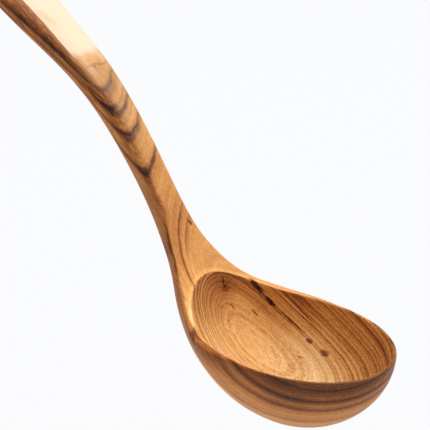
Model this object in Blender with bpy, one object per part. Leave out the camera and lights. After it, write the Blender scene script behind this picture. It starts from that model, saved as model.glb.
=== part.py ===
"""Soup ladle carved from one blank of figured hardwood.

In front of its widest section the bowl is half an ellipsoid. Behind that section the
body is a loft of rounded sections along a curved spine: the back of the bowl rises
into a narrow neck, and the neck into a handle that widens towards a round end.

Frame: with the bowl level, +Z is up and +X points to the bowl's tip. Y = 0 is the
plane of symmetry. The origin is the middle of the small flat under the bowl.
"""
import math
from collections import namedtuple

import bmesh
import bpy
import numpy as np

MM = 0.001

# Driving dimensions. Each station is a section behind the bowl's widest one: distance
# along the upper profile (mm), the profile's slope there (degrees), the section's depth
# and half width (mm), how far its widest line lies below its top as a share of the
# depth, and the powers of the two superellipses above and below that line.
Station = namedtuple("Station", "run slope depth half_width shoulder upper lower")
STATIONS = [
    Station(0, 0, 44.0, 39.2, 0.03, 5.0, 1.85),
    Station(18, 0, 41.0, 39.6, 0.03, 5.0, 1.75),
    Station(34, 14, 31.5, 34.8, 0.04, 5.0, 1.6),
    Station(48, 28, 23.5, 26.0, 0.07, 5.0, 1.75),
    Station(62, 47, 14.0, 18.2, 0.15, 4.5, 1.9),
    Station(78, 55, 12.5, 11.8, 0.25, 4.0, 2.1),
    Station(100, 56.5, 12.3, 8.7, 0.35, 3.4, 2.3),
    Station(130, 53, 12.9, 8.9, 0.45, 2.8, 2.3),
    Station(165, 43, 13.5, 10.5, 0.50, 2.6, 2.3),
    Station(205, 31, 14.4, 13.6, 0.50, 2.5, 2.3),
    Station(245, 33, 15.0, 17.0, 0.50, 2.5, 2.3),
    Station(288, 27, 15.0, 18.5, 0.50, 2.5, 2.3),
]

# The bowl and the ends, metres. The bowl's depth and width are the first section's.
BOWL_DEPTH = STATIONS[0].depth * MM             # rim down to the lowest point
BOWL_HALF_WIDTH = STATIONS[0].half_width * MM
HANDLE_RUN = STATIONS[-1].run * MM              # widest section to the handle's end
BOWL_FRONT = 51.0 * MM          # from the widest section to the bowl's tip
BASE_SANDING = 0.5 * MM         # taken off the lowest point to leave a flat
LIP_FRONT = 1.6 * MM            # width of the rim at the tip
LIP_SIDE = 1.7 * MM             # width of the rim at the widest section
HOLLOW_BACK = 56.0 * MM         # from the widest section to the back edge of the hollow
FLOOR_THICKNESS = 5.0 * MM      # wood left under the hollow
END_ROUND_PLAN = 20.0 * MM      # length over which the handle's outline closes
END_ROUND_SIDE = 6.0 * MM       # length over which the handle's thickness closes
RIM_HEIGHT = BOWL_DEPTH - BASE_SANDING

# Fineness of the mesh
RING_POINTS = 36                # around a section
BODY_RINGS = 48                 # along the handle
END_RINGS = 8                   # along the handle's round end
BOWL_STEPS = 26                 # around the front of the bowl
HOLLOW_STEPS = 44               # around the hollow
HOLLOW_LEVELS = 9               # from the rim to the hollow's floor
CUT_MARGIN = 4.0 * MM           # how far the cutter stands above the rim
SHARP_ANGLE = 40.0              # degrees; edges that turn more than this stay crisp


def spline(values, at):
    """Cubic curve through the stations, level at the first and straight at the last."""
    run = np.array([station.run for station in STATIONS]) * MM
    gap = np.diff(run)
    count = len(run)
    system = np.zeros((count, count))
    right = np.zeros(count)
    rise = np.diff(values) / gap
    system[0, :2] = 2 * gap[0], gap[0]
    right[0] = 6 * rise[0]
    for i in range(1, count - 1):
        system[i, i - 1:i + 2] = gap[i - 1], 2 * (gap[i - 1] + gap[i]), gap[i]
        right[i] = 6 * (rise[i] - rise[i - 1])
    system[-1, -1] = 1
    bend = np.linalg.solve(system, right)
    k = np.clip(np.searchsorted(run, at) - 1, 0, count - 2)
    before = at - run[k]
    after = run[k + 1] - at
    width = gap[k]
    cubic = (bend[k] * after ** 3 + bend[k + 1] * before ** 3) / (6 * width)
    left_part = (values[k] / width - bend[k] * width / 6) * after
    right_part = (values[k + 1] / width - bend[k + 1] * width / 6) * before
    return cubic + left_part + right_part


def station_values(field, unit=1.0):
    """One column of the table of stations."""
    return np.array([getattr(station, field) for station in STATIONS], dtype=float) * unit


def upper_profile(steps=2400):
    """Distance, x, z and slope along the upper profile, from the rim backwards."""
    run = np.linspace(0, HANDLE_RUN, steps)
    slope = np.radians(spline(station_values("slope"), run))
    middle = (slope[1:] + slope[:-1]) / 2
    step = np.diff(run)
    x = -np.concatenate([[0], np.cumsum(np.cos(middle) * step)])
    z = np.concatenate([[0], np.cumsum(np.sin(middle) * step)])
    return run, x, z + RIM_HEIGHT, slope


def signed_power(value, power):
    return math.copysign(abs(value) ** power, value)


def section(depth, half_width, shoulder, upper, lower):
    """Half a section, from the middle of its top to the middle of its underside.

    Each point is (sideways, height above the top): the widest line lies
    shoulder * depth below the top.
    """
    points = []
    above = shoulder * depth
    for k in range(RING_POINTS // 2 + 1):
        turn = math.pi / 2 - 2 * math.pi * k / RING_POINTS
        power = upper if turn > 0 else lower
        reach = above if turn > 0 else depth - above
        sideways = half_width * max(math.cos(turn), 0.0) ** (2 / power)
        height = reach * signed_power(math.sin(turn), 2 / power) - above
        points.append((sideways, height))
    return points


def end_share(distance_to_end, length):
    """Share of the full size left near the handle's end, closing like an ellipse."""
    t = np.clip(1 - distance_to_end / length, 0, 1)
    return np.sqrt(np.maximum(1 - t ** 2, 0))


def ring_runs():
    """Distances of the sections: even along the handle, closer together at its end."""
    body = np.linspace(0, HANDLE_RUN - END_ROUND_PLAN, BODY_RINGS)
    turn = np.linspace(0, math.pi / 2, END_RINGS + 1)[1:-1]
    end = HANDLE_RUN - END_ROUND_PLAN * (1 - np.sin(turn))
    return np.concatenate([body, end])


def body_rings():
    """Every section as a closed ring of points, and the point that ends the handle."""
    at = ring_runs()
    run, x, z, slope = upper_profile()
    left = HANDLE_RUN - at
    depth = spline(station_values("depth", MM), at)
    half_width = spline(station_values("half_width", MM), at) * end_share(left, END_ROUND_PLAN)
    thin = end_share(left, END_ROUND_SIDE)
    shoulder = spline(station_values("shoulder"), at)
    upper = spline(station_values("upper"), at)
    lower = spline(station_values("lower"), at)
    rings = []
    for i, distance in enumerate(at):
        base_x = np.interp(distance, run, x)
        base_z = np.interp(distance, run, z)
        lean = np.interp(distance, run, slope)
        sink = depth[i] * (1 - thin[i]) / 2
        half = section(depth[i] * thin[i], half_width[i], shoulder[i], upper[i], lower[i])
        right_side = []
        for sideways, height in half:
            below = height - sink
            right_side.append((base_x + below * math.sin(lean), sideways,
                               base_z + below * math.cos(lean)))
        left_side = [(px, -py, pz) for px, py, pz in right_side[-2:0:-1]]
        rings.append(right_side + left_side)
    middle = depth[-1] / 2
    tip = (x[-1] - middle * math.sin(slope[-1]), 0.0, z[-1] - middle * math.cos(slope[-1]))
    return rings, tip


def bridge(mesh, first, second):
    """Quads between two rings of vertices."""
    count = len(first)
    for k in range(count):
        following = (k + 1) % count
        mesh.faces.new((first[k], first[following], second[following], second[k]))


def add_handle(mesh, rings, tip):
    """Loft from the bowl's widest section to the end of the handle."""
    loops = [[mesh.verts.new(point) for point in ring] for ring in rings]
    for first, second in zip(loops, loops[1:]):
        bridge(mesh, first, second)
    end = mesh.verts.new(tip)
    last = loops[-1]
    for k, vertex in enumerate(last):
        mesh.faces.new((vertex, last[(k + 1) % len(last)], end))
    return loops[0]


def add_bowl_front(mesh, widest):
    """Turn the right half of the widest section round to the left half, through the tip."""
    levels = RING_POINTS // 2
    stretch = BOWL_FRONT / BOWL_HALF_WIDTH
    rows = []
    for k in range(1, levels):
        start = widest[k].co
        row = [widest[k]]
        for step in range(1, BOWL_STEPS):
            turn = math.pi * step / BOWL_STEPS
            forward = start.y * math.sin(turn) * stretch
            row.append(mesh.verts.new((forward, start.y * math.cos(turn), start.z)))
        row.append(widest[RING_POINTS - k])
        rows.append(row)
    top = widest[0]
    bottom = widest[levels]
    for j in range(BOWL_STEPS):
        mesh.faces.new((top, rows[0][j + 1], rows[0][j]))
        for upper, lower in zip(rows, rows[1:]):
            mesh.faces.new((upper[j], upper[j + 1], lower[j + 1], lower[j]))
        mesh.faces.new((rows[-1][j], rows[-1][j + 1], bottom))


def sand_base(mesh):
    """Cut the lowest point off to leave the flat, at Z = 0."""
    everything = mesh.verts[:] + mesh.edges[:] + mesh.faces[:]
    cut = bmesh.ops.bisect_plane(mesh, geom=everything, plane_co=(0, 0, 0),
                                 plane_no=(0, 0, -1), clear_outer=True)
    edges = [item for item in cut["geom_cut"] if isinstance(item, bmesh.types.BMEdge)]
    bmesh.ops.edgenet_fill(mesh, edges=edges)


def finish_object(name, mesh):
    """Turn a bmesh into a smooth-shaded object."""
    bmesh.ops.recalc_face_normals(mesh, faces=mesh.faces[:])
    data = bpy.data.meshes.new(name)
    mesh.to_mesh(data)
    mesh.free()
    data.shade_smooth()
    data.set_sharp_from_angle(angle=math.radians(SHARP_ANGLE))
    thing = bpy.data.objects.new(name, data)
    bpy.context.collection.objects.link(thing)
    return thing


def make_body():
    """The solid ladle, before it is hollowed."""
    mesh = bmesh.new()
    rings, tip = body_rings()
    widest = add_handle(mesh, rings, tip)
    add_bowl_front(mesh, widest)
    sand_base(mesh)
    return finish_object("ladle", mesh)


def make_hollow():
    """Cutter for the inside of the bowl: its edge follows the rising back of the rim."""
    _, x, z, _ = upper_profile()
    floor = RIM_HEIGHT - (BOWL_DEPTH - FLOOR_THICKNESS)
    mesh = bmesh.new()
    columns = []
    for step in range(HOLLOW_STEPS):
        turn = 2 * math.pi * step / HOLLOW_STEPS
        length = BOWL_FRONT - LIP_FRONT if math.cos(turn) > 0 else HOLLOW_BACK
        edge_x = length * math.cos(turn)
        edge_y = (BOWL_HALF_WIDTH - LIP_SIDE) * math.sin(turn)
        edge_z = np.interp(-edge_x, -x, z)
        column = [mesh.verts.new((edge_x, edge_y, edge_z + CUT_MARGIN))]
        for level in range(HOLLOW_LEVELS):
            fall = math.pi / 2 * level / HOLLOW_LEVELS
            share = math.cos(fall)
            height = edge_z - (edge_z - floor) * math.sin(fall)
            column.append(mesh.verts.new((edge_x * share, edge_y * share, height)))
        columns.append(column)
    highest = max(column[0].co.z for column in columns)
    lid = mesh.verts.new((0, 0, highest))
    bottom = mesh.verts.new((0, 0, floor))
    for first, second in zip(columns, columns[1:] + columns[:1]):
        mesh.faces.new((lid, first[0], second[0]))
        for k in range(HOLLOW_LEVELS):
            mesh.faces.new((first[k], first[k + 1], second[k + 1], second[k]))
        mesh.faces.new((first[-1], bottom, second[-1]))
    cutter = finish_object("hollow_cutter", mesh)
    cutter.hide_render = True
    cutter.display_type = "WIRE"
    return cutter


def wood():
    """Oiled hardwood, golden brown, satin."""
    material = bpy.data.materials.new("oiled_hardwood")
    material.use_nodes = True
    shader = material.node_tree.nodes["Principled BSDF"]
    shader.inputs["Base Color"].default_value = (0.52, 0.27, 0.11, 1.0)
    shader.inputs["Roughness"].default_value = 0.45
    shader.inputs["Metallic"].default_value = 0.0
    return material


def build():
    for thing in list(bpy.data.objects):
        bpy.data.objects.remove(thing)
    ladle = make_body()
    ladle.data.materials.append(wood())
    hollow = ladle.modifiers.new("hollow", "BOOLEAN")
    hollow.operation = "DIFFERENCE"
    hollow.solver = "EXACT"
    hollow.object = make_hollow()


build()
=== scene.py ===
"""Looks of the soup ladle: one piece of figured hardwood, oiled to a satin finish.

The ladle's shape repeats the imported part's formulas on a much finer mesh, with the edge
of the rim rounded over. Its wood is a procedural material in the row's own frame: three
fields measure how far a point lies across the growth rings, one along the handle and
neck, one inside the bowl and one outside it.
"""
import math
from collections import namedtuple

import bmesh
import bpy
import numpy as np
from mathutils import Matrix, Vector


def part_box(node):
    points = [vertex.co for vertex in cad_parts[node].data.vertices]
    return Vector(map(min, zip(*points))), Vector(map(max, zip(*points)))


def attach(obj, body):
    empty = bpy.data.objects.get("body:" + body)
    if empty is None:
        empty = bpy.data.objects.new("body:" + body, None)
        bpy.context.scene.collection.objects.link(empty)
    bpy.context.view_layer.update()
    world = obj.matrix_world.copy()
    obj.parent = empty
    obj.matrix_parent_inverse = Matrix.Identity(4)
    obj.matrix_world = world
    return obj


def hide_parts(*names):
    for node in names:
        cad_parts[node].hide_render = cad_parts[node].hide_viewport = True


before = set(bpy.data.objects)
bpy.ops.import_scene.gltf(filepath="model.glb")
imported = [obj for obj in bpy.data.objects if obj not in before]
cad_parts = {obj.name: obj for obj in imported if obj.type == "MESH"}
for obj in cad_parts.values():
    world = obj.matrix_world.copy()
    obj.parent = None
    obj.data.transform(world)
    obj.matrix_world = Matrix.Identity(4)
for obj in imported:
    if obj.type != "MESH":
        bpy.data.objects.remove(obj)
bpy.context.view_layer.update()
low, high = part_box("ladle")

MM = 0.001

# The sections behind the bowl's widest one, as in the part: distance along the upper
# profile (mm), slope (degrees), depth and half width (mm), where the widest line lies,
# and the powers of the superellipses above and below it.
Station = namedtuple("Station", "run slope depth half_width shoulder upper lower")
STATIONS = [
    Station(0, 0, 44.0, 39.2, 0.03, 5.0, 1.85),
    Station(18, 0, 41.0, 39.6, 0.03, 5.0, 1.75),
    Station(34, 14, 31.5, 34.8, 0.04, 5.0, 1.6),
    Station(48, 28, 23.5, 26.0, 0.07, 5.0, 1.75),
    Station(62, 47, 14.0, 18.2, 0.15, 4.5, 1.9),
    Station(78, 55, 12.5, 11.8, 0.25, 4.0, 2.1),
    Station(100, 56.5, 12.3, 8.7, 0.35, 3.4, 2.3),
    Station(130, 53, 12.9, 8.9, 0.45, 2.8, 2.3),
    Station(165, 43, 13.5, 10.5, 0.50, 2.6, 2.3),
    Station(205, 31, 14.4, 13.6, 0.50, 2.5, 2.3),
    Station(245, 33, 15.0, 17.0, 0.50, 2.5, 2.3),
    Station(288, 27, 15.0, 18.5, 0.50, 2.5, 2.3),
]
BOWL_DEPTH = STATIONS[0].depth * MM
BOWL_HALF_WIDTH = STATIONS[0].half_width * MM
HANDLE_RUN = STATIONS[-1].run * MM
BOWL_FRONT = high[0]
BASE_SANDING = 0.5 * MM         # taken off the lowest point to leave a flat
RIM_HEIGHT = BOWL_DEPTH - BASE_SANDING
LIP_FRONT = 1.6 * MM
LIP_SIDE = 1.7 * MM
HOLLOW_BACK = 56.0 * MM
FLOOR_THICKNESS = 5.0 * MM
HOLLOW_FLOOR = RIM_HEIGHT - (BOWL_DEPTH - FLOOR_THICKNESS)
END_ROUND_PLAN = 20.0 * MM
END_ROUND_SIDE = 6.0 * MM

# Fineness of the mesh
HALF_RING = 72                  # points on half a section
BODY_RINGS = 300
END_RINGS = 24
BOWL_STEPS = 110
HOLLOW_STEPS = 200
HOLLOW_LEVELS = 50
CUT_MARGIN = 4.0 * MM
VOXEL = 0.80 * MM               # of the even mesh, which rounds the edges over
MERGE_DISTANCE = 1e-6
SHORTEST_EDGE = 1e-7


# ---------------------------------------------------------------- shape

def spline(values, at):
    """Cubic curve through the stations, level at the first and straight at the last."""
    run = np.array([station.run for station in STATIONS]) * MM
    gap = np.diff(run)
    count = len(run)
    system = np.zeros((count, count))
    right = np.zeros(count)
    rise = np.diff(values) / gap
    system[0, :2] = 2 * gap[0], gap[0]
    right[0] = 6 * rise[0]
    for i in range(1, count - 1):
        system[i, i - 1:i + 2] = gap[i - 1], 2 * (gap[i - 1] + gap[i]), gap[i]
        right[i] = 6 * (rise[i] - rise[i - 1])
    system[-1, -1] = 1
    bend = np.linalg.solve(system, right)
    k = np.clip(np.searchsorted(run, at) - 1, 0, count - 2)
    before = at - run[k]
    after = run[k + 1] - at
    width = gap[k]
    cubic = (bend[k] * after ** 3 + bend[k + 1] * before ** 3) / (6 * width)
    left_part = (values[k] / width - bend[k] * width / 6) * after
    right_part = (values[k + 1] / width - bend[k + 1] * width / 6) * before
    return cubic + left_part + right_part


def station_curve(field, at, unit=1.0):
    """One column of the table of stations, read at any distances."""
    values = np.array([getattr(station, field) for station in STATIONS], dtype=float)
    return spline(values * unit, at)


def upper_profile(steps=2400):
    """Distance, x, z and slope along the upper profile, from the rim backwards."""
    run = np.linspace(0, HANDLE_RUN, steps)
    slope = np.radians(station_curve("slope", run))
    middle = (slope[1:] + slope[:-1]) / 2
    step = np.diff(run)
    x = -np.concatenate([[0], np.cumsum(np.cos(middle) * step)])
    z = np.concatenate([[0], np.cumsum(np.sin(middle) * step)])
    return run, x, z + RIM_HEIGHT, slope


def end_share(distance_to_end, length):
    """Share of the full size left near the handle's end, closing like an ellipse."""
    t = np.clip(1 - distance_to_end / length, 0, 1)
    return np.sqrt(1 - t ** 2)


def half_sections(at):
    """Sideways and height of half a section at each distance: two tables of points."""
    left = HANDLE_RUN - at
    thin = end_share(left, END_ROUND_SIDE)[:, None]
    full_depth = station_curve("depth", at, MM)[:, None]
    depth = full_depth * thin
    half_width = station_curve("half_width", at, MM) * end_share(left, END_ROUND_PLAN)
    above = station_curve("shoulder", at)[:, None] * depth
    turn = math.pi / 2 - math.pi * np.arange(HALF_RING + 1) / HALF_RING
    upper = station_curve("upper", at)[:, None]
    lower = station_curve("lower", at)[:, None]
    power = np.where(turn > 0, upper, lower)
    reach = np.where(turn > 0, above, depth - above)
    sideways = half_width[:, None] * np.maximum(np.cos(turn), 0) ** (2 / power)
    lift = np.sign(np.sin(turn)) * np.abs(np.sin(turn)) ** (2 / power)
    height = reach * lift - above - (full_depth - depth) / 2
    return sideways, height


def body_mesh():
    """The solid ladle before it is hollowed, with the flat under the bowl."""
    turn = np.linspace(0, math.pi / 2, END_RINGS + 1)[1:]
    at = np.concatenate([np.linspace(0, HANDLE_RUN - END_ROUND_PLAN, BODY_RINGS),
                         HANDLE_RUN - END_ROUND_PLAN * (1 - np.sin(turn))])
    run, x, z, slope = upper_profile()
    sideways, height = half_sections(at)
    lean = np.interp(at, run, slope)[:, None]
    base_x = np.interp(at, run, x)[:, None] + height * np.sin(lean)
    base_z = np.interp(at, run, z)[:, None] + height * np.cos(lean)
    right = np.stack([base_x, sideways, base_z], axis=2)
    left = right[:, -2:0:-1] * (1, -1, 1)
    rings = np.concatenate([right, left], axis=1)
    widest = right[0]
    around = math.pi * np.arange(BOWL_STEPS + 1) / BOWL_STEPS
    stretch = BOWL_FRONT / BOWL_HALF_WIDTH
    front = np.stack([widest[:, 1:2] * np.sin(around) * stretch,
                      widest[:, 1:2] * np.cos(around),
                      widest[:, 2:3] + 0 * around], axis=2)
    mesh = bmesh.new()
    add_grid(mesh, rings, closed=True)
    add_grid(mesh, front, closed=False)
    bmesh.ops.remove_doubles(mesh, verts=mesh.verts[:], dist=MERGE_DISTANCE)
    for vertex in mesh.verts:
        vertex.co.z = max(vertex.co.z, 0.0)
    return mesh


def add_grid(mesh, points, closed):
    """Quads between neighbouring rows of points."""
    rows = [[mesh.verts.new(point) for point in row] for row in points]
    for first, second in zip(rows, rows[1:]):
        count = len(first)
        for k in range(count if closed else count - 1):
            following = (k + 1) % count
            mesh.faces.new((first[k], first[following], second[following], second[k]))


def hollow_mesh():
    """Cutter for the inside of the bowl: its edge follows the rising back of the rim."""
    _, x, z, _ = upper_profile()
    turn = 2 * math.pi * np.arange(HOLLOW_STEPS) / HOLLOW_STEPS
    length = np.where(np.cos(turn) > 0, BOWL_FRONT - LIP_FRONT, HOLLOW_BACK)
    edge_x = length * np.cos(turn)
    edge_y = (BOWL_HALF_WIDTH - LIP_SIDE) * np.sin(turn)
    edge_z = np.interp(-edge_x, -x, z)
    nowhere = 0 * edge_x
    top = nowhere + edge_z.max() + CUT_MARGIN
    rows = [np.stack([nowhere, nowhere, top], axis=1),
            np.stack([edge_x, edge_y, edge_z + CUT_MARGIN], axis=1)]
    for fall in np.linspace(0, math.pi / 2, HOLLOW_LEVELS):
        height = edge_z - (edge_z - HOLLOW_FLOOR) * math.sin(fall)
        rows.append(np.stack([edge_x * math.cos(fall), edge_y * math.cos(fall), height], axis=1))
    mesh = bmesh.new()
    add_grid(mesh, rows, closed=True)
    bmesh.ops.remove_doubles(mesh, verts=mesh.verts[:], dist=MERGE_DISTANCE)
    return mesh


def add_object(name, mesh):
    bmesh.ops.dissolve_degenerate(mesh, edges=mesh.edges[:], dist=SHORTEST_EDGE)
    bmesh.ops.recalc_face_normals(mesh, faces=mesh.faces[:])
    data = bpy.data.meshes.new(name)
    mesh.to_mesh(data)
    mesh.free()
    thing = bpy.data.objects.new(name, data)
    bpy.context.collection.objects.link(thing)
    return thing


def add_copy(name, thing):
    """A second object with the shape that the first one's modifiers give."""
    state = bpy.context.evaluated_depsgraph_get()
    data = bpy.data.meshes.new_from_object(thing.evaluated_get(state))
    data.name = name
    copy = bpy.data.objects.new(name, data)
    bpy.context.collection.objects.link(copy)
    return copy


def make_ladle():
    """Hollow the body, round its edges over, and keep the result as one plain mesh."""
    rough = add_object("rough_body", body_mesh())
    cutter = add_object("hollow_cutter", hollow_mesh())
    cut = rough.modifiers.new("hollow", "BOOLEAN")
    cut.operation = "DIFFERENCE"
    cut.solver = "EXACT"
    cut.object = cutter
    remesh = rough.modifiers.new("even_mesh", "REMESH")
    remesh.mode = "VOXEL"
    remesh.voxel_size = VOXEL
    remesh.show_viewport = False
    exact = add_copy("exact_body", rough)
    remesh.show_viewport = True
    snap = rough.modifiers.new("snap", "SHRINKWRAP")
    snap.target = exact
    snap.wrap_method = "NEAREST_SURFACEPOINT"
    carved = add_copy("carved_ladle", rough)
    carved.data.shade_smooth()
    for helper in (rough, cutter, exact):
        bpy.data.objects.remove(helper)
    return carved


# ---------------------------------------------------------------- materials
# Every length in the wood's graph is in mm.

def srgb(red, green, blue):
    """A colour given as 0-255 display values, as the linear colour that shaders take."""
    shares = [value / 255 for value in (red, green, blue)]
    linear = [v / 12.92 if v <= 0.04045 else ((v + 0.055) / 1.055) ** 2.4 for v in shares]
    return (*linear, 1.0)


class Graph:
    """Short calls that add shader nodes to one material."""

    def __init__(self, name):
        self.material = bpy.data.materials.new(name)
        self.material.use_nodes = True
        self.nodes = self.material.node_tree.nodes
        self.links = self.material.node_tree.links
        self.shader = self.nodes["Principled BSDF"]

    def add(self, kind, *values, **settings):
        """A node, its settings, and its inputs in order; None leaves an input alone."""
        node = self.nodes.new("ShaderNode" + kind)
        for name, value in settings.items():
            setattr(node, name, value)
        for socket, value in zip(node.inputs, values):
            self.feed(socket, value)
        return node

    def feed(self, socket, value):
        if isinstance(value, bpy.types.NodeSocket):
            self.links.new(value, socket)
        elif value is not None:
            socket.default_value = value

    def math(self, operation, *values, clamp=False):
        return self.add("Math", *values, operation=operation, use_clamp=clamp).outputs[0]

    def total(self, first, *others):
        for other in others:
            first = self.math("ADD", first, other)
        return first

    def product(self, first, *others):
        for other in others:
            first = self.math("MULTIPLY", first, other)
        return first

    def minus(self, first, second, clamp=False):
        return self.math("SUBTRACT", first, second, clamp=clamp)

    def dot(self, vector, row):
        node = self.add("VectorMath", vector, row, operation="DOT_PRODUCT")
        return node.outputs["Value"]

    def length(self, vector):
        return self.add("VectorMath", vector, operation="LENGTH").outputs["Value"]

    def stretched(self, point, rows):
        """The point in other axes: its dot products with three weighted rows."""
        parts = [self.dot(point, row) for row in rows]
        return self.add("CombineXYZ", *parts).outputs[0]

    def noise(self, point, scale, detail=2.0, roughness=0.5):
        node = self.add("TexNoise", noise_dimensions="3D")
        self.feed(node.inputs["Vector"], point)
        self.feed(node.inputs["Scale"], scale)
        self.feed(node.inputs["Detail"], detail)
        self.feed(node.inputs["Roughness"], roughness)
        return node.outputs[0]

    def swing(self, value, size):
        """Noise from 0..1 turned into a signed value of about -size..size."""
        return self.math("MULTIPLY_ADD", value, 2 * size, -size)

    def span(self, value, start, end, first=0.0, last=1.0):
        """A smooth step from the first level, up to the start, to the last, past the end."""
        node = self.add("MapRange", value, start, end, first, last,
                        interpolation_type="SMOOTHSTEP")
        return node.outputs[0]

    def stripe(self, value, centre, outer, inner, change):
        """A change that fills the values nearer the centre than inner, none past outer."""
        away = self.math("ABSOLUTE", self.minus(value, centre))
        return self.span(away, outer, inner, 0.0, change)

    def curve(self, value, stops, ends):
        """A value read along straight lines between (position, level) stops."""
        start, end = ends
        share = self.add("MapRange", value, start, end, 0.0, 1.0).outputs[0]
        return self.palette(share, [((position - start) / (end - start), (level,) * 3 + (1.0,))
                                    for position, level in stops])

    def palette(self, value, stops):
        node = self.add("ValToRGB", value)
        fill_ramp(node.color_ramp, stops)
        return node.outputs[0]

    def blend(self, factor, first, second):
        """A colour between two."""
        node = self.add("Mix", data_type="RGBA")
        self.feed(node.inputs[0], factor)
        self.feed(node.inputs[6], first)
        self.feed(node.inputs[7], second)
        return node.outputs[2]

    def mix(self, factor, first, second):
        """A value between two."""
        node = self.add("Mix", data_type="FLOAT")
        self.feed(node.inputs[0], factor)
        self.feed(node.inputs[2], first)
        self.feed(node.inputs[3], second)
        return node.outputs[0]


def fill_ramp(ramp, stops):
    """Replace a ramp's stops with (position, colour) pairs."""
    while len(ramp.elements) > 1:
        ramp.elements.remove(ramp.elements[-1])
    ramp.elements[0].position = stops[0][0]
    ramp.elements[0].color = stops[0][1]
    for position, colour in stops[1:]:
        element = ramp.elements.new(position)
        element.color = colour


# Each field is an ellipsoidal distance across the growth rings, in mm: a centre, and
# three axes with the weight of each.
Field = namedtuple("Field", "centre axes")
HANDLE_RINGS = Field((92.2, 38.3, -229.7),
                     [(0.23, (-0.67, -0.08, 0.74)), (1.96, (0.04, -1.0, -0.08)),
                      (1.0, (0.74, -0.03, 0.67))])
INSIDE_RINGS = Field((-25.7, 10.5, 27.7),
                     [(1.5, (0.03, 0.94, 0.33)), (0.66, (-0.85, -0.15, 0.5)),
                      (1.0, (0.52, -0.29, 0.8))])
OUTSIDE_RINGS = Field((24.9, -4.5, 71.8),
                      [(1.11, (0.42, 0.41, -0.81)), (0.82, (0.86, 0.09, 0.49)),
                       (1.0, (0.28, -0.91, -0.32))])

# Tone of the wood along each field: 0 is the near-black of the ring lines, 1 the
# palest gold. A ring darkens slowly towards the bark and ends in a sharp line.
# The handle's front face and its dark side have the same rings in different strengths,
# and so have the near and the far part of the bowl's inside.
FACE_TONES = [(110, 0.62), (113.2, 0.66), (114.6, 0.62), (115.8, 0.46), (116.3, 0.62),
              (117.2, 0.54), (117.7, 0.28), (118.1, 0.60), (119.2, 0.51), (120.4, 0.62),
              (121.3, 0.53), (122.6, 0.63), (124.2, 0.56), (125.1, 0.48), (125.4, 0.24),
              (125.7, 0.26), (125.95, 0.58), (127.6, 0.65), (128.6, 0.54), (129.1, 0.38),
              (129.5, 0.20), (129.75, 0.56), (130.4, 0.60), (131.2, 0.56), (131.5, 0.22),
              (131.75, 0.54), (132.6, 0.57), (133.1, 0.36), (133.35, 0.28), (133.55, 0.57),
              (134.1, 0.56), (134.4, 0.64)]
SIDE_TONES = [(110, 0.70), (115.4, 0.74), (117.0, 0.62), (117.5, 0.22), (118.0, 0.54),
              (119.4, 0.60), (120.5, 0.50), (121.3, 0.54), (123.2, 0.60), (124.4, 0.48),
              (125.2, 0.28), (125.6, 0.12), (126.0, 0.16), (126.35, 0.46), (127.6, 0.52),
              (128.6, 0.42), (129.2, 0.18), (129.7, 0.12), (130.0, 0.34), (130.7, 0.42),
              (131.2, 0.36), (131.6, 0.16), (132.1, 0.06), (132.4, 0.26), (132.9, 0.34),
              (133.3, 0.30), (133.6, 0.10), (133.9, 0.16), (134.2, 0.26), (134.5, 0.34),
              (134.7, 0.40), (135.2, 0.42)]
NEAR_TONES = [(14.0, 0.77), (17.0, 0.72), (20.8, 0.67), (22.4, 0.72), (23.7, 0.56),
              (24.1, 0.76), (25.4, 0.66), (26.2, 0.68), (26.9, 0.54), (27.2, 0.66), (28.0, 0.46),
              (28.4, 0.80), (29.3, 0.76), (30.1, 0.46), (30.5, 0.70), (31.7, 0.52), (32.1, 0.66),
              (32.9, 0.48), (33.4, 0.80), (34.4, 0.66), (35.1, 0.62), (35.8, 0.40), (36.2, 0.66),
              (37.2, 0.54), (37.6, 0.76), (42.6, 0.68), (43.3, 0.50), (43.7, 0.70),
              (50.0, 0.58), (50.6, 0.42), (51.2, 0.66)]
FAR_TONES = [(14, 0.79), (17, 0.70), (20, 0.76), (22.4, 0.84), (23.6, 0.72), (26.6, 0.78),
             (28.0, 0.62), (28.6, 0.54), (28.9, 0.70), (31.0, 0.68), (34.2, 0.58), (35.2, 0.36),
             (35.5, 0.80), (36.0, 0.64), (38.4, 0.60), (41.0, 0.50), (41.9, 0.34), (42.3, 0.66),
             (42.7, 0.54), (45.0, 0.64), (46.6, 0.42), (47.2, 0.50), (49.2, 0.60), (50.4, 0.46),
             (50.8, 0.72), (51.4, 0.60), (53.6, 0.36), (54.3, 0.38), (54.9, 0.62), (55.6, 0.42),
             (56.2, 0.74), (58.3, 0.48)]
OUTSIDE_TONES = [(30, 0.34), (39, 0.26), (41.4, 0.26), (42.7, 0.12), (43.4, 0.26), (44.3, 0.27),
                 (45.6, 0.40), (46.6, 0.34), (47.4, 0.05), (48.1, 0.34), (49.6, 0.50),
                 (50.7, 0.44), (51.5, 0.24), (52.3, 0.44), (53.4, 0.58), (55.4, 0.63),
                 (57.2, 0.56), (58.4, 0.48), (60.4, 0.66), (62.0, 0.66), (63.4, 0.52),
                 (65.0, 0.62), (69.4, 0.62), (70.2, 0.50), (70.8, 0.66), (77.0, 0.58),
                 (77.6, 0.46), (78.4, 0.64), (86.0, 0.56), (86.6, 0.46), (87.4, 0.62),
                 (97.0, 0.54)]

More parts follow.
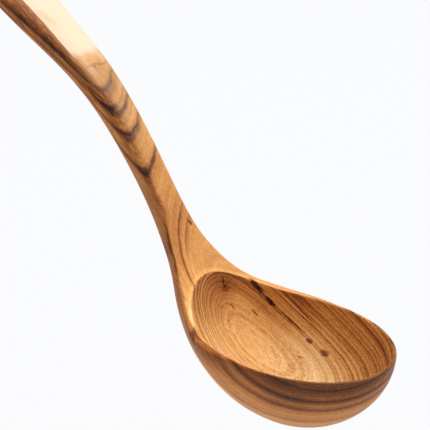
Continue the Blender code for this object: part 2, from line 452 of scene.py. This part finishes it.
# Colours for the tones: of the wood at large, the inside of the bowl (paler and greyer, a painted
# sheen of the oil), its outside and the upper handle
WOOD_COLOURS = [(0.00, srgb(38, 21, 14)), (0.15, srgb(84, 48, 29)), (0.35, srgb(140, 80, 39)),
                (0.55, srgb(190, 122, 62)), (0.72, srgb(222, 157, 84)), (0.88, srgb(242, 184, 104)),
                (1.00, srgb(255, 202, 132))]
SHEEN_PALE_COLOURS = [(0.00, srgb(38, 21, 14)), (0.15, srgb(84, 48, 30)), (0.35, srgb(140, 80, 42)),
                 (0.55, srgb(189, 128, 69)), (0.72, srgb(221, 171, 105)),
                 (0.88, srgb(241, 205, 151)), (1.00, srgb(253, 227, 184))]
REDDER_COLOURS = [(0.00, srgb(38, 20, 12)), (0.15, srgb(84, 44, 22)), (0.35, srgb(140, 74, 30)),
                  (0.55, srgb(190, 119, 56)), (0.72, srgb(222, 157, 86)), (1.00, srgb(255, 206, 144))]
GREYER_COLOURS = [(0.00, srgb(44, 28, 22)), (0.15, srgb(84, 56, 42)), (0.35, srgb(138, 98, 68)),
                  (0.55, srgb(190, 137, 84)), (0.72, srgb(222, 169, 110)),
                  (1.00, srgb(252, 208, 156))]
SAPWOOD = srgb(243, 216, 190)
SAPWOOD_STREAK = srgb(238, 204, 170)

# Weighted axes: the first is the way the fibres run, and its small weight makes noise
# stretch along it.
FIBRES = [(0.045, (-0.80, -0.10, 0.59)), (1.0, (-0.12, 0.99, 0.0)), (1.0, (0.59, 0.07, 0.80))]

# Two knots, and the cracks, flecks and bark marks inside the bowl and on the neck. Each
# runs from its start to its end (mm); then come its half width, how deep it goes into the
# wood, how ragged its edge is, and how much tone it takes away.
Mark = namedtuple("Mark", "start end width depth ragged strength")
KNOTS = [
    Mark((-15.6, 29.9, 23.1), (-11.9, 30.3, 22.4), 1.2, 3.0, 0.4, 0.34),
    Mark((-6.4, 29.6, 20.4), (-0.6, 29.3, 19.4), 1.6, 3.0, 0.4, 0.34),
]
KNOT_GREY = srgb(88, 66, 64)
MARKS = [
    Mark((-46.0, 21.4, 50.0), (-41.4, 24.4, 43.8), 1.3, 3.0, 0.5, 0.55),
    Mark((-43.0, 23.8, 45.8), (-39.8, 25.4, 41.8), 1.5, 3.0, 0.6, 0.35),
    Mark((-39.5, 25.6, 41.4), (-34.0, 27.9, 35.6), 1.1, 3.0, 0.6, 0.60),
    Mark((-33.0, 30.1, 44.4), (-11.8, 34.0, 29.5), 0.45, 3.0, 0.3, 0.44),
    Mark((-31.2, 29.1, 33.6), (-18.1, 30.9, 25.6), 0.60, 3.0, 0.5, 0.34),
    Mark((-50.2, 11.3, 38.7), (-48.0, 12.7, 34.8), 0.35, 2.0, 0.2, 0.45),
    Mark((-43.0, 20.1, 34.6), (-39.8, 21.5, 30.5), 0.40, 2.0, 0.3, 0.50),
    Mark((-16.6, 23.6, 15.9), (-12.2, 24.9, 15.6), 0.35, 2.0, 0.2, 0.40),
    Mark((-53.9, 9.5, 53.2), (-53.0, 10.2, 46.5), 0.60, 2.0, 0.6, 0.28),
    Mark((-53.4, 8.6, 47.6), (-51.8, 12.2, 44.4), 2.4, 3.0, 1.2, 0.16),
    Mark((-38.0, -31.0, 44.6), (-28.0, -35.0, 42.4), 1.8, 6.0, 0.4, 0.24),
    Mark((-73.4, 4.8, 79.4), (-71.7, 6.7, 76.5), 0.80, 1.4, 0.5, 0.30),
]

# How far (mm) left of the middle the neck's left edge lies at each distance backwards and
# upwards. The wood turns from the pale face to the brown flank there.
FLANK_EDGE = [(36, 36.0), (49, 33.2), (60, 27.8), (70, 21.6), (75, 18.9), (80, 16.9),
              (89, 12.8), (100, 9.6), (111, 6.8), (126, 7.1)]
FLANK_REACH = 40.0              # more than any of these
BACK_AND_UP = (-0.866, 0.0, 0.5)

# Where the tones run along each field, mm
HANDLE_RANGE = (110.0, 136.0)
INSIDE_RANGE = (0.0, 62.0)
OUTSIDE_RANGE = (30.0, 100.0)

EDGE_STOPS = 15                 # points that follow the rising edge of the hollow

# One place on the surface, in mm: the point, its three parts, the point shortened along
# the fibres, and two small shifts of the growth rings, ragged alone and in all.
Spot = namedtuple("Spot", "point x y z fibre jag shake")


def make_spot(graph):
    """The spot that is shaded, from the object's own coordinates."""
    place = graph.add("TexCoord").outputs["Object"]
    enlarged = graph.add("VectorMath", place, operation="SCALE")
    enlarged.inputs["Scale"].default_value = 1 / MM
    point = enlarged.outputs[0]
    x, y, z = graph.add("SeparateXYZ", point).outputs[:]
    fibre = graph.stretched(point, weighted(FIBRES))
    drift = graph.swing(graph.noise(point, 0.03), 0.8)
    jag = graph.swing(graph.noise(fibre, 0.5, 3.0, 0.7), 0.6)
    return Spot(point, x, y, z, fibre, jag, graph.total(drift, jag))


def weighted(axes):
    """Axes multiplied by their weights."""
    return [tuple(weight * part for part in axis) for weight, axis in axes]


def rings(graph, point, field):
    """Distance across the growth rings of one field."""
    offset = graph.add("VectorMath", point, field.centre, operation="SUBTRACT").outputs[0]
    return graph.length(graph.stretched(offset, weighted(field.axes)))


def hollow_reach(graph, spot):
    """How far out from the hollow's middle a point is: 1 all over the hollow's surface."""
    _, back, rise, _ = upper_profile()
    forward = graph.product(spot.x, MM / (BOWL_FRONT - LIP_FRONT))
    backward = graph.product(spot.x, -MM / HOLLOW_BACK)
    along = graph.math("MAXIMUM", forward, backward)
    across = graph.product(spot.y, MM / (BOWL_HALF_WIDTH - LIP_SIDE))
    plan = graph.total(graph.math("POWER", along, 2.0), graph.math("POWER", across, 2.0))
    edge_run = graph.math("DIVIDE", backward, graph.math("SQRT", plan))
    unit = 2 * BOWL_FRONT       # keeps every stop's level below 1
    stops = [(share, float(np.interp(share * HOLLOW_BACK, -back, rise)) / unit)
             for share in np.linspace(0.0, 1.0, EDGE_STOPS)]
    edge = graph.product(graph.curve(edge_run, stops, (0.0, 1.0)), unit / MM)
    depth = graph.minus(edge, HOLLOW_FLOOR / MM)
    fall = graph.math("DIVIDE", graph.minus(edge, spot.z), depth)
    fall = graph.math("MAXIMUM", fall, 0.0)
    reach = graph.total(plan, graph.math("POWER", fall, 2.0))
    far_lip = graph.product(graph.span(spot.y, 22.0, 32.0), graph.span(spot.x, -36.0, -22.0),
                            graph.span(spot.x, 22.0, 8.0))
    return graph.math("MULTIPLY_ADD", far_lip, -0.06, reach)


def mark_shade(graph, point, wander, mark):
    """Tone that one mark takes away: an ellipsoid that lies in the surface."""
    start = Vector(mark.start)
    end = Vector(mark.end)
    middle = (start + end) / 2
    along = (end - start).normalized()
    outward = middle - Vector((0, 0, 1.2 * RIM_HEIGHT / MM))
    across = along.cross(outward).normalized()
    inward = across.cross(along)
    offset = graph.add("VectorMath", point, middle, operation="SUBTRACT").outputs[0]
    rows = [along * 2 / (end - start).length, across / mark.width, inward / mark.depth]
    reach = graph.length(graph.stretched(offset, [tuple(row) for row in rows]))
    reach = graph.math("MULTIPLY_ADD", wander, mark.ragged, reach)
    return graph.span(reach, 1.25, 0.45, 0.0, mark.strength)


def mark_shades(graph, spot):
    """Tone that all marks take away, and the part of it that belongs to the knots."""
    wander = graph.swing(graph.noise(spot.point, 0.9, 3.0, 0.6), 1.2)
    wobble = graph.add("TexNoise", noise_dimensions="3D")
    graph.feed(wobble.inputs["Vector"], spot.point)
    wobble.inputs["Scale"].default_value = 0.35
    wobble = graph.add("VectorMath", wobble.outputs[1], (0.5, 0.5, 0.5), operation="SUBTRACT")
    bent = graph.add("VectorMath", spot.point, wobble.outputs[0], operation="ADD").outputs[0]
    knots = graph.total(*[mark_shade(graph, bent, wander, mark) for mark in KNOTS])
    others = graph.total(*[mark_shade(graph, bent, wander, mark) for mark in MARKS])
    return graph.total(knots, others), knots


def handle_tone(graph, spot, handle_rings, on_side):
    """The front face with its pointed lines, the dark left side and the plainer back."""
    face = graph.curve(handle_rings, FACE_TONES, HANDLE_RANGE)
    side = graph.curve(handle_rings, SIDE_TONES, HANDLE_RANGE)
    face = graph.mix(graph.span(spot.y, 1.0, 5.0, 0.0, 0.4), face, 0.62)
    tone = graph.mix(on_side, face, side)
    normal = graph.add("NewGeometry").outputs["Normal"]
    on_flank = graph.span(graph.dot(normal, (0.6, 0.0, 0.8)), 0.45, 0.05)
    return graph.mix(graph.product(on_flank, 0.40), tone, 0.66)


def inside_tone(graph, spot, inside_rings, at_back):
    """The hollow: near wall, far wall, darker rings towards the neck, and painted shade under the
    back of the rim.
    """
    near = graph.curve(inside_rings, NEAR_TONES, INSIDE_RANGE)
    far = graph.curve(inside_rings, FAR_TONES, INSIDE_RANGE)
    tone = graph.mix(graph.span(spot.y, -2.0, 14.0), near, far)
    darker = graph.total(graph.span(inside_rings, 19.0, 23.0, -0.02, -0.20),
                         graph.span(inside_rings, 29.0, 32.0, 0.0, 0.16),
                         graph.span(inside_rings, 35.0, 38.5, 0.0, -0.34))
    tone = graph.math("MULTIPLY_ADD", at_back, darker, tone)
    # Painted shade: the wall just under the back of the rim is made darker, as if shaded by it.
    return graph.total(tone, graph.span(spot.x, -47.0, -55.0, 0.01, -0.11),
                       graph.span(spot.y, 11.0, 18.0, 0.0, 0.035))


def outside_tone(graph, spot, outside_rings):
    """The outer wall of the bowl, a little darker in front and paler towards the neck."""
    tone = graph.curve(outside_rings, OUTSIDE_TONES, OUTSIDE_RANGE)
    return graph.total(tone, graph.span(spot.x, 0.0, 30.0, -0.01, -0.05),
                       graph.span(spot.x, -14.0, -28.0, 0.0, 0.07))


def add_neck_edge(graph, spot, tone):
    """The brown flank left of the neck's edge, with the lines and pale strip beside it."""
    stops = [(distance, left / FLANK_REACH) for distance, left in FLANK_EDGE]
    ends = (float(FLANK_EDGE[0][0]), float(FLANK_EDGE[-1][0]))
    path = graph.curve(graph.dot(spot.point, BACK_AND_UP), stops, ends)
    path = graph.product(path, -FLANK_REACH)
    beyond = graph.minus(graph.math("MULTIPLY_ADD", spot.jag, 0.6, path), spot.y)

    on_neck = graph.product(graph.span(spot.z, 102.0, 90.0), graph.span(spot.x, -4.0, -18.0))
    near_rim = graph.math("MAXIMUM", graph.span(spot.x, -30.0, -38.0),
                          graph.span(spot.z, 30.0, 42.0))
    flank = graph.product(graph.span(beyond, -0.25, 0.35, 0.0, 0.85), on_neck, near_rim)
    tone = graph.mix(flank, tone, graph.span(spot.x, -38.0, -26.0, 0.45, 0.34))

    low_line = graph.product(graph.stripe(beyond, 0.5, 0.6, 0.1, -0.24),
                             graph.span(spot.z, 86.0, 75.0), graph.span(spot.z, 57.0, 63.0))
    high_line = graph.product(graph.stripe(beyond, -0.2, 1.7, 0.4, -0.16),
                              graph.span(spot.z, 106.0, 101.0),
                              graph.span(spot.z, 82.0, 88.0))
    pale_strip = graph.product(graph.span(beyond, -0.2, -0.9), graph.span(spot.y, -9.0, -14.0),
                               0.12, graph.span(spot.z, 67.0, 58.0), on_neck)
    return graph.total(tone, low_line, high_line, pale_strip)


def fine_figure(graph, spot, ring_value, is_outside, on_side):
    """Small changes of tone: thin rings, fibre streaks, speckle, pores and blotches."""
    fine = graph.add("TexNoise", noise_dimensions="1D")
    graph.feed(fine.inputs["W"], ring_value)
    fine.inputs["Scale"].default_value = 0.9
    fine.inputs["Detail"].default_value = 3.0
    strength = graph.span(ring_value, 12.0, 24.0, 0.08, 0.30)
    strength = graph.mix(is_outside, strength, 0.13)
    fine = graph.product(graph.swing(fine.outputs[0], 1.0), strength)

    on_high_side = graph.product(on_side, graph.span(spot.z, 95.0, 120.0))
    streak_size = graph.mix(is_outside, graph.span(ring_value, 24.0, 15.0, 0.18, 0.36), 0.18)
    streak_size = graph.mix(on_high_side, streak_size, 0.50)
    streaks = graph.product(graph.swing(graph.noise(spot.fibre, 1.9, 3.0, 0.65), 1.0),
                            streak_size)

    speckle = graph.product(graph.swing(graph.noise(spot.point, 1.5, 2.0, 0.6), 1.0),
                            graph.mix(is_outside, 0.20, 0.12))
    pore_depth = graph.mix(is_outside, graph.span(spot.y, 4.0, 22.0, -0.05, -0.16), 0.0)
    pores = graph.product(graph.span(graph.noise(spot.point, 1.4), 0.54, 0.70), pore_depth)
    blotches = graph.swing(graph.noise(spot.point, 0.05, 3.0), 0.10)
    return graph.total(fine, streaks, speckle, pores, blotches), streaks


def add_sapwood(graph, spot, colour, sap_end, plain_rings, streaks):
    """The pale sapwood on the handle's front, which ends raggedly above the neck."""
    start = graph.minus(graph.span(spot.y, -8.3, -10.6, 134.44, 135.3),
                        graph.span(spot.z, 152.0, 144.0, 0.0, 0.6))
    share = graph.minus(graph.math("MULTIPLY_ADD", spot.jag, 0.12, plain_rings), start)
    tint = graph.product(graph.span(spot.z, 142.0, 151.0, 0.0, 0.35),
                         graph.span(spot.y, -7.4, -5.0))
    fade = graph.math("MAXIMUM", graph.span(sap_end, 151.5, 156.5), tint)
    sap = graph.product(graph.span(share, -0.04, 0.16), fade)
    sapwood = graph.blend(graph.span(streaks, -0.2, 0.2), SAPWOOD_STREAK, SAPWOOD)
    return graph.blend(graph.product(sap, 0.95), colour, sapwood)


def wood():
    """Oiled hardwood: tone from the rings and marks, then colour, sapwood and relief."""
    graph = Graph("figured_hardwood")
    spot = make_spot(graph)
    x, y, z = spot.x, spot.y, spot.z

    plain_rings = rings(graph, spot.point, HANDLE_RINGS)
    handle_rings = graph.total(plain_rings, graph.product(spot.jag, 0.4),
                               graph.span(y, 0.5, 5.0, 0.0, -0.5))
    inside_rings = graph.total(rings(graph, spot.point, INSIDE_RINGS), spot.shake)
    outside_rings = graph.total(rings(graph, spot.point, OUTSIDE_RINGS), spot.shake,
                                graph.span(x, -10.0, -22.0, 0.0, -1.2))

    reach = hollow_reach(graph, spot)
    is_outside = graph.span(reach, 1.006, 1.018)
    # Painted highlight: the top of the rim's lip, where the light catches it, is made paler.
    painted_lip_highlight = graph.product(is_outside, graph.span(reach, 1.10, 1.04))
    climb = graph.total(z, graph.product(x, -0.5),
                        graph.product(graph.math("ABSOLUTE", y), -0.6))
    is_handle = graph.span(climb, 60.0, 76.0)
    side_edge = graph.total(y, graph.span(plain_rings, 133.2, 133.8, 0.0, 3.6))
    on_side = graph.span(side_edge, -2.0, -8.0)
    at_back = graph.product(graph.span(x, -10.0, -42.0), graph.span(y, -4.0, 12.0))

    outer = graph.mix(is_handle, outside_tone(graph, spot, outside_rings),
                      handle_tone(graph, spot, handle_rings, on_side))
    outer = add_neck_edge(graph, spot, outer)
    tone = graph.mix(is_outside, inside_tone(graph, spot, inside_rings, at_back), outer)
    outer_rings = graph.mix(is_handle, outside_rings, graph.product(handle_rings, 2.0))
    ring_value = graph.mix(is_outside, inside_rings, outer_rings)
    figure, streaks = fine_figure(graph, spot, ring_value, is_outside, on_side)
    shades, knots = mark_shades(graph, spot)
    sap_end = graph.total(z, graph.swing(graph.noise(spot.point, 0.35, 3.0, 0.6), 2.0))
    sap_line = graph.product(graph.stripe(sap_end, 149.3, 0.9, 0.1, -0.14),
                             graph.span(on_side, 0.3, 0.0))
    # The painted highlight on the lip adds a tenth to the tone there.
    tone = graph.total(tone, figure, graph.product(painted_lip_highlight, 0.10))
    tone = graph.total(graph.minus(tone, shades), sap_line)

    # Painted sheen: the inside of the bowl takes the paler palette. It is weaker on the wall towards
    # the neck and absent outside.
    painted_sheen = graph.minus(graph.span(y, 60.0, 20.0), graph.product(at_back, 0.7))
    painted_sheen = graph.minus(painted_sheen, is_outside, clamp=True)
    greyness = graph.product(is_outside, is_handle, graph.span(z, 95.0, 135.0, 0.2, 0.9),
                             graph.minus(1.0, on_side))
    redness = graph.product(graph.minus(is_outside, is_handle, clamp=True),
                            graph.span(x, 24.0, 6.0))
    colour = graph.palette(tone, WOOD_COLOURS)
    colour = graph.blend(painted_sheen, colour, graph.palette(tone, SHEEN_PALE_COLOURS))
    colour = graph.blend(greyness, colour, graph.palette(tone, GREYER_COLOURS))
    colour = graph.blend(redness, colour, graph.palette(tone, REDDER_COLOURS))
    colour = graph.blend(graph.math("MULTIPLY", knots, 1.5, clamp=True), colour, KNOT_GREY)
    colour = add_sapwood(graph, spot, colour, sap_end, plain_rings, streaks)

    bump = graph.add("Bump")
    bump.inputs["Strength"].default_value = 0.3
    bump.inputs["Distance"].default_value = 0.2 * MM
    graph.feed(bump.inputs["Height"], graph.noise(spot.fibre, 2.2, 3.0, 0.7))
    graph.feed(graph.shader.inputs["Normal"], bump.outputs[0])
    graph.feed(graph.shader.inputs["Base Color"], colour)
    graph.feed(graph.shader.inputs["Roughness"], graph.span(tone, 0.0, 1.0, 0.40, 0.55))
    graph.shader.inputs["Specular IOR Level"].default_value = 0.15
    return graph.material


def floor_paint():
    graph = Graph("pale_floor")
    graph.shader.inputs["Base Color"].default_value = (0.69, 0.69, 0.695, 1.0)
    graph.shader.inputs["Roughness"].default_value = 0.9
    graph.shader.inputs["Specular IOR Level"].default_value = 0.1
    return graph.material


# ---------------------------------------------------------------- studio

def make_floor():
    """A wide floor well below the ladle, so that only a faint shade reaches it."""
    drop = 0.25
    half_width = 8.0
    mesh = bmesh.new()
    bmesh.ops.create_grid(mesh, x_segments=1, y_segments=1, size=half_width)
    floor = add_object("studio_floor", mesh)
    floor.data.transform(Matrix.Translation((0, 0, low[2] - drop)))
    floor.data.materials.append(floor_paint())


def make_world():
    """Even, slightly cool light from all around."""
    world = bpy.data.worlds.new("studio")
    bpy.context.scene.world = world
    world.use_nodes = True
    background = world.node_tree.nodes["Background"]
    background.inputs["Color"].default_value = (0.95, 0.97, 1.0, 1.0)
    background.inputs["Strength"].default_value = 0.45


def add_soft_light(name, source, spread, strength):
    """A very wide sun stands for a large soft box in the direction of the source."""
    light = bpy.data.lights.new(name, "SUN")
    light.angle = math.radians(spread)
    light.energy = strength
    lamp = bpy.data.objects.new(name, light)
    lamp.rotation_euler = Vector(source).to_track_quat("Z", "Y").to_euler()
    bpy.context.collection.objects.link(lamp)


def make_camera():
    """A view from in front of the bowl and to its right, a little above the rim."""
    azimuth = math.radians(47.96)
    elevation = math.radians(22.27)
    roll = math.radians(0.27)
    distance = 550.0 * MM
    shift_left = 37.33 * MM
    shift_up = 55.85 * MM
    aim = Vector((0, 0, RIM_HEIGHT))
    back = Vector((math.cos(azimuth) * math.cos(elevation),
                   -math.sin(azimuth) * math.cos(elevation), math.sin(elevation)))
    level = Vector((0, 0, 1)).cross(back).normalized()
    upright = back.cross(level)
    right = math.cos(roll) * level + math.sin(roll) * upright
    up = -math.sin(roll) * level + math.cos(roll) * upright
    data = bpy.data.cameras.new("studio_camera")
    data.sensor_width = 36.0
    data.lens = 98.0
    data.clip_start = 0.01
    camera = bpy.data.objects.new("studio_camera", data)
    place = Matrix((right, up, back)).transposed().to_4x4()
    place.translation = aim - shift_left * right + shift_up * up + distance * back
    camera.matrix_world = place
    bpy.context.collection.objects.link(camera)
    bpy.context.scene.camera = camera


ladle = make_ladle()
ladle.data.materials.append(wood())
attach(ladle, "root")
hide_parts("ladle")

make_floor()
make_world()
add_soft_light("overhead", (0.15, 0.4, 1.0), 60.0, 3.3)
make_camera()
bpy.context.scene.view_settings.view_transform = "Standard"
